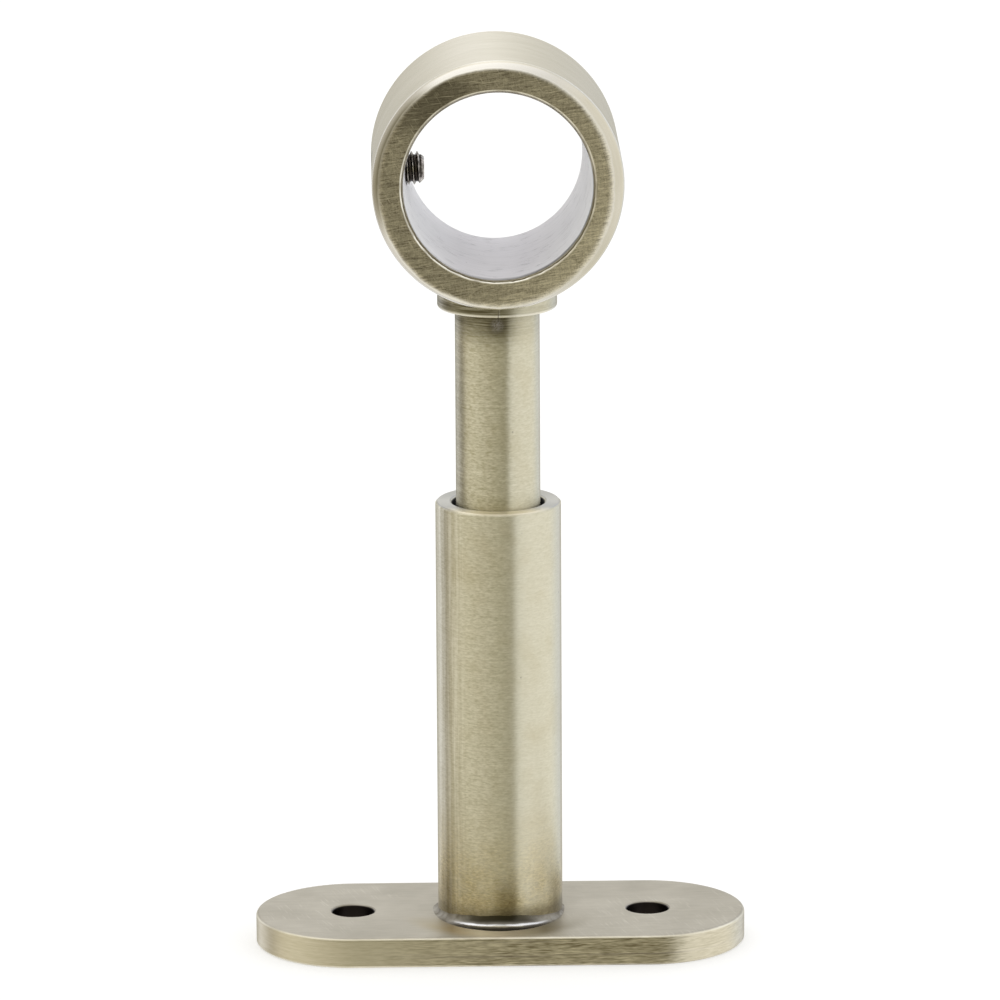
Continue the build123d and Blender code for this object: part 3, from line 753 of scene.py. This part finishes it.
def ring_blank():
    """The ring before its screw hole. Its front bevel was ground by hand, so it is wider on the right and
    flatter at the bottom, and the die's parting line is raised on it."""
    half, face_radius = RING_HALF_WIDTH, RING_RADIUS - RING_BEVEL
    section = [
        (BORE_FRONT_RADIUS + BORE_CHAMFER, -half), (face_radius, -half), (RING_RADIUS, -half + RING_BEVEL),
        (RING_RADIUS, half - RING_BEVEL), (face_radius, half), (BORE_BACK_RADIUS + BORE_CHAMFER, half),
        (BORE_BACK_RADIUS, half - BORE_CHAMFER), (BORE_FRONT_RADIUS, -half + BORE_CHAMFER)]
    bm = spun([(0, RING_Y + y, RING_Z - r) for r, y in section], (0, RING_Y, RING_Z), (0, 1, 0), 256, True)

    def from_axis(co):
        return hypot(co.x, co.z - RING_Z)

    def loop(radius, y):
        return lambda co: abs(from_axis(co) - radius) < SAME and abs(co.y - RING_Y - y) < SAME

    face_corner = loop(face_radius, -half)
    for v in [v for v in bm.verts if face_corner(v.co)]:
        side, up = v.co.x / face_radius, (v.co.z - RING_Z) / face_radius
        width = GROUND + GROUND_TO_TOP * up + GROUND_TO_SIDES * side ** 2 + GROUND_TO_RIGHT * side
        reach = RING_RADIUS - width
        v.co.x, v.co.z = side * reach, RING_Z + up * reach
    outer_corner = loop(RING_RADIUS, -half + RING_BEVEL)
    for v in [v for v in bm.verts if outer_corner(v.co)]:
        v.co.y -= FORWARD_AT_BOTTOM * max(0, (RING_Z - v.co.z) / RING_RADIUS) ** 2
    soften(bm, FRONT_SOFTENING, 4, lambda co: abs(from_axis(co) - RING_RADIUS) < SAME and co.y < RING_Y)
    soften(bm, BACK_SOFTENING, 4, loop(RING_RADIUS, half - RING_BEVEL))
    mouth = BORE_FRONT_RADIUS + 3 * BORE_CHAMFER
    soften(bm, FRONT_SOFTENING, 4, lambda co: abs(co.y - RING_Y + half) < SAME and from_axis(co) > mouth)
    soften(bm, BACK_FACE_SOFTENING, 3, loop(face_radius, half))
    soften(bm, MOUTH_SOFTENING, 2, loop(BORE_FRONT_RADIUS + BORE_CHAMFER, -half))
    soften(bm, MOUTH_SOFTENING, 2, loop(BORE_FRONT_RADIUS, -half + BORE_CHAMFER))
    for v in bm.verts:
        low = v.co.z < RING_Z - face_radius + 0.6
        if abs(v.co.x) < 0.01 and low and v.co.y < RING_Y - half + RING_BEVEL + 0.5:
            v.co += Vector((0, -LINE_ON_RING, -LINE_ON_RING))
    return blank(bm, "head")


def collar_and_stem():
    """Collar and stem, with the die's parting line raised down the front to just under the collar."""
    top = RING_Z - COLLAR_REACH
    section = [
        (0, STEM_BOTTOM), (STEM_RADIUS - STEM_CHAMFER, STEM_BOTTOM),
        (STEM_RADIUS, STEM_BOTTOM + STEM_CHAMFER), (STEM_RADIUS, COLLAR_BOTTOM - 3.4),
        (STEM_RADIUS, COLLAR_BOTTOM - 2.2), (STEM_RADIUS, COLLAR_BOTTOM - 1), (STEM_RADIUS, COLLAR_BOTTOM),
        (COLLAR_RADIUS, COLLAR_BOTTOM), (COLLAR_RADIUS, top), (0, top)]
    bm = spun([(0, RING_Y - r, z) for r, z in section], (0, RING_Y, 0), (0, 0, 1), 256, False)
    soften(bm, COLLAR_SOFTENING, 4, lambda co: abs(co.z - COLLAR_BOTTOM) < SAME
           and abs(hypot(co.x, co.y - RING_Y) - COLLAR_RADIUS) < SAME)
    for v in bm.verts:
        if abs(v.co.x) < 0.01 and v.co.y < RING_Y - STEM_RADIUS + 1 and v.co.z > COLLAR_BOTTOM - 1.5:
            v.co.y -= LINE_ON_COLLAR if v.co.y < RING_Y - STEM_RADIUS - 0.1 else LINE_ON_STEM
    return blank(bm, "collar_and_stem")


def drill():
    """What the pole screw's hole takes out of the ring: a hole with a countersunk mouth."""
    outside, mouth = RING_RADIUS + COUNTERSINK_PAST, SCREW_HOLE_RADIUS + COUNTERSINK_WIDTH
    section = [(0, DRILL_START), (SCREW_HOLE_RADIUS, DRILL_START),
               (SCREW_HOLE_RADIUS, RING_RADIUS - COUNTERSINK_DEPTH), (mouth, outside), (0, outside)]
    points = [(-x, POLE_SCREW_Y, RING_Z + r) for r, x in section]
    return blank(spun(points, (0, POLE_SCREW_Y, RING_Z), (1, 0, 0), 64, False), "drill")


def make_head(brass, ring, zinc, cut):
    """Ring, collar and stem in one casting. Its faces take bare zinc in the bore and the screw hole, a cut
    edge on the bore's chamfers, ring brass on the rest of the ring and stem brass below it."""
    head = ring_blank()
    combine(head, collar_and_stem(), "UNION")
    combine(head, drill(), "DIFFERENCE")
    brass_slot, ring_slot, zinc_slot, cut_slot = range(4)
    for face in head.data.polygons:
        reach = hypot(face.center.x, face.center.z - RING_Z)
        outward = face.normal.x * face.center.x + face.normal.z * (face.center.z - RING_Z)
        from_screw = hypot(face.center.y - POLE_SCREW_Y, face.center.z - RING_Z)
        in_hole = from_screw < SCREW_HOLE_RADIUS + COUNTERSINK_WIDTH + 0.1 and abs(face.normal.x) < 0.8
        if reach > RING_RADIUS + 0.02:
            face.material_index = brass_slot
        elif outward < -0.9 * reach or in_hole:
            face.material_index = zinc_slot
        elif outward < -0.2 * reach:
            face.material_index = cut_slot
        else:
            face.material_index = ring_slot
    finish_piece(head, "head", "ring_stem", [brass, ring, zinc, cut])


def make_braze(braze):
    """The braze fillet: hollow in section, it flowed wide and high at the front of the tube's foot, less on
    the left and least on the right."""
    hollow = [(1 - cos(radians(a)), 1 - sin(radians(a))) for a in range(0, 91, 10)]
    section = [(-SUNK_IN_TUBE, -SUNK_IN_PLATE), (-SUNK_IN_TUBE, 1.0)] + hollow + [(1.0, -SUNK_IN_PLATE)]
    bm = spun([(0, -TUBE_RADIUS - r, PLATE_TOP + z) for r, z in section], (0, 0, 0), (0, 0, 1), 192, True)
    rise = bm.verts.layers.float.new("rise")
    for v in bm.verts:
        radius = hypot(v.co.x, v.co.y)
        side, front = v.co.x / radius, max(0.0, -v.co.y / radius) ** 2
        uneven = BRAZE_UNEVENNESS * noise.noise(v.co * 0.45)
        v[rise] = v.co.z - PLATE_TOP
        higher = BRAZE_HEIGHT - HEIGHT_TO_LEFT * side + HEIGHT_TO_FRONT * front + uneven
        v.co.z = PLATE_TOP + v[rise] * higher
        if radius > TUBE_RADIUS:
            wider = BRAZE_SPREAD - SPREAD_TO_LEFT * side + SPREAD_TO_FRONT * front + uneven
            spread = TUBE_RADIUS + (radius - TUBE_RADIUS) * wider
            v.co.x, v.co.y = v.co.x * spread / radius, v.co.y * spread / radius
    bead = blank(bm, "braze_bead")
    finish_piece(bead, "base", "braze_fillet", [braze], sharp=60)


def grub_screw(name, length, place):
    """A socket grub screw: a rolled thread that starts below the point, chamfered ends and a hexagon
    socket."""
    steps, turns = 48, ceil(length / PITCH) + 2
    bm = bmesh.new()
    outline = [(ROOT, 0), (ROOT, 0.12), (CREST, 0.35), (CREST, 0.45), (ROOT, 0.68), (ROOT, PITCH)]
    points = [bm.verts.new((r, 0, z - 1.3 * PITCH)) for r, z in outline]
    edges = [bm.edges.new(pair) for pair in zip(points, points[1:])]
    bmesh.ops.spin(bm, geom=points + edges, cent=(0, 0, 0), axis=(0, 0, 1), dvec=(0, 0, PITCH / steps),
                   angle=tau * turns, steps=steps * turns)
    bmesh.ops.remove_doubles(bm, verts=bm.verts, dist=1e-4)
    for level, direction in ((0, -1), (length, 1)):
        cut = bmesh.ops.bisect_plane(bm, geom=bm.verts[:] + bm.edges[:] + bm.faces[:], plane_co=(0, 0, level),
                                     plane_no=(0, 0, direction), clear_outer=True)
        bmesh.ops.edgeloop_fill(bm, edges=[e for e in cut["geom_cut"] if isinstance(e, bmesh.types.BMEdge)])
    for v in bm.verts:
        radius = hypot(v.co.x, v.co.y)
        most = min(POINT_RADIUS + v.co.z, END_RADIUS + length - v.co.z)
        if radius > most:
            v.co.x, v.co.y = v.co.x * most / radius, v.co.y * most / radius
    bmesh.ops.remove_doubles(bm, verts=bm.verts, dist=1e-4)
    bmesh.ops.recalc_face_normals(bm, faces=bm.faces)
    screw = blank(bm, name)
    socket = SOCKET_ACROSS_FLATS / 2 / cos(pi / 6)
    key = bmesh.new()
    bmesh.ops.create_cone(key, cap_ends=True, segments=6, radius1=socket, radius2=socket,
                          depth=2 * SOCKET_DEPTH, matrix=Matrix.Translation((0, 0, length)))
    combine(screw, blank(key, "key"), "DIFFERENCE")
    # Crests and the point's chamfer are marked bare: wear, and painted highlights on the point.
    worn = screw.data.attributes.new("crest", "FLOAT", "POINT")
    for v in screw.data.vertices:
        radius = hypot(v.co.x, v.co.y)
        on_point = v.co.z < CREST - POINT_RADIUS and abs(radius - POINT_RADIUS - v.co.z) < 0.02
        worn.data[v.index].value = 1.0 if on_point else min(1.0, max(0.0, (radius - ROOT) / (CREST - ROOT)))
    screw.data.transform(place)
    return screw


def make_screws(steel):
    at_pole = Matrix.Translation((POLE_SCREW_TIP, POLE_SCREW_Y, RING_Z))
    pole = grub_screw("pole_grub_screw", POLE_SCREW_LENGTH, at_pole @ Matrix.Rotation(radians(-90), 4, "Y"))
    finish_piece(pole, "pole_screw", "pole_screw", [steel])
    at_stem = Matrix.Translation((0, LOCK_SCREW_TIP, LOCK_SCREW_Z))
    lock = grub_screw("lock_grub_screw", LOCK_SCREW_LENGTH, at_stem @ Matrix.Rotation(radians(-90), 4, "X"))
    finish_piece(lock, "lock_screw", "lock_screw", [steel])


# Studio.

def set_camera():
    elevation = radians(CAMERA_ELEVATION)
    turn = Matrix.Rotation(radians(CAMERA_TURN), 4, "Z")
    back, up = CAMERA_DISTANCE * cos(elevation), CAMERA_DISTANCE * sin(elevation) + LOOK_FROM_HEIGHT
    place = Vector((0, -back, up))
    facing = (AIM - place).to_track_quat("-Z", "Y").to_matrix().to_4x4()
    roll = Matrix.Rotation(radians(CAMERA_ROLL), 4, "Z")
    data = bpy.data.cameras.new("camera")
    data.lens = FOCAL_LENGTH
    data.sensor_width = SENSOR_WIDTH
    data.clip_end = CLIP_END
    camera = bpy.data.objects.new("camera", data)
    camera.matrix_world = turn @ Matrix.Translation(place) @ facing @ roll
    bpy.context.scene.collection.objects.link(camera)
    bpy.context.scene.camera = camera


def set_world():
    """A studio by the compass, in degrees from the front towards the right: a softbox on the right, a dim
    room in front and on the left, and white behind, dimmer towards the floor. Below is a white table, and a
    softbox hangs overhead, a little to the left."""
    room = [
        (-180, "#fdfdfb"), (-173, "#ffffff"), (-169, "#f0efe9"), (-164, "#bfbdb3"), (-147, "#f5f6fb"),
        (-127, "#d6d5d6"), (-114, "#aca79c"), (-98, "#ddd9ce"), (-79, "#dfdbcd"), (-53, "#d0ccbd"),
        (-30, "#bcb7a6"), (0, "#9c9882"), (25, "#888470"), (33, "#f4f6f8"), (53, "#ffffff"), (112, "#ffffff"),
        (127, "#eef3fb"), (147, "#e9edf8"), (166, "#d3d2cc"), (180, "#fdfdfb")]
    table = [
        (-180, "#ffffff"), (-147, "#f8f9fc"), (-127, "#ebeaea"), (-114, "#d8d4cb"), (-98, "#f2f0eb"),
        (-79, "#fdfcf7"), (-53, "#fbf9f2"), (-30, "#faf8f0"), (0, "#f8f6ed"), (25, "#f4f2e8"),
        (34, "#f0f0ec"), (60, "#f4f4f2"), (120, "#f8f8f6"), (180, "#ffffff")]
    world = bpy.data.worlds.new("studio")
    world.use_nodes = True
    tree = world.node_tree
    tree.nodes.clear()
    ray = add(tree, "ShaderNodeSeparateXYZ", {0: add(tree, "ShaderNodeTexCoord").outputs["Generated"]})
    forward = add(tree, "ShaderNodeMath", {0: ray.outputs["Y"], 1: -1.0}, operation="MULTIPLY")
    compass = add(tree, "ShaderNodeMath", {0: ray.outputs["X"], 1: forward}, operation="ARCTAN2")
    turn = add(tree, "ShaderNodeMapRange", {"Value": compass, 1: -pi, 2: pi})
    bands = []
    for tones in (room, table):
        stops = [((degrees + 180) / 360, linear(tone)) for degrees, tone in tones]
        bands.append(add(tree, "ShaderNodeValToRGB", {0: turn}, stops=stops))
    below = add(tree, "ShaderNodeMapRange", {"Value": ray.outputs["Z"], 1: -0.35, 2: -0.6},
                interpolation_type="SMOOTHSTEP")
    around = add(tree, "ShaderNodeMix", {0: below, 6: bands[0], 7: bands[1]}, data_type="RGBA")
    behind = add(tree, "ShaderNodeMapRange", {"Value": ray.outputs["Y"], 1: 0.8, 2: 0.95})
    sunk = add(tree, "ShaderNodeMapRange", {"Value": ray.outputs["Z"], 1: 0.12, 2: -0.4})
    far = add(tree, "ShaderNodeMath", {0: behind, 1: sunk}, operation="MULTIPLY")
    shaded = add(tree, "ShaderNodeMix", {0: far, 6: around, 7: linear("#9d9b90")}, data_type="RGBA")
    above = add(tree, "ShaderNodeMapRange", {"Value": ray.outputs["Z"], 1: 0.55, 2: 0.85},
                interpolation_type="SMOOTHSTEP")
    overhead = add(tree, "ShaderNodeMapRange", {"Value": ray.outputs["X"], 2: 0.6, 3: 1.0, 4: 0.68})
    all_round = add(tree, "ShaderNodeMix", {0: above, 6: shaded, 7: overhead}, data_type="RGBA")
    level = add(tree, "ShaderNodeMapRange", {"Value": above, 3: 1.09, 4: 1.32})
    studio = add(tree, "ShaderNodeBackground", {0: all_round, 1: level})
    add(tree, "ShaderNodeOutputWorld", {0: studio})
    bpy.context.scene.world = world


def lay_floor():
    """A white floor, bright enough to stay white, that keeps the soft shadow. The metal mirrors the
    walls."""
    bm = bmesh.new()
    bmesh.ops.create_grid(bm, x_segments=1, y_segments=1, size=FLOOR_HALF_SIZE)
    bmesh.ops.translate(bm, verts=bm.verts, vec=(0, 0, -FLOOR_DROP))
    floor = blank(bm, "floor")
    material, tree = new_material("white_paper")
    paper = add(tree, "ShaderNodeBsdfDiffuse", {0: linear("#c8c8c8")})
    glow = add(tree, "ShaderNodeEmission", {0: (1, 1, 1, 1), 1: 0.5})
    both = add(tree, "ShaderNodeAddShader", {0: paper, 1: glow})
    add(tree, "ShaderNodeOutputMaterial", {0: both})
    material.cycles.emission_sampling = "NONE"
    floor.data.materials.append(material)
    floor.visible_glossy = False


make_head(stem_brass(), ring_brass(), bare_zinc(), cut_edge())
make_braze(silver_braze())
make_screws(oxided_steel())
for node, material in (("outer_tube", tube_brass()), ("base_plate", plate_brass())):
    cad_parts[node].data.materials.clear()
    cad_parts[node].data.materials.append(material)
set_camera()
set_world()
lay_floor()
bpy.context.scene.view_settings.view_transform = "Standard"
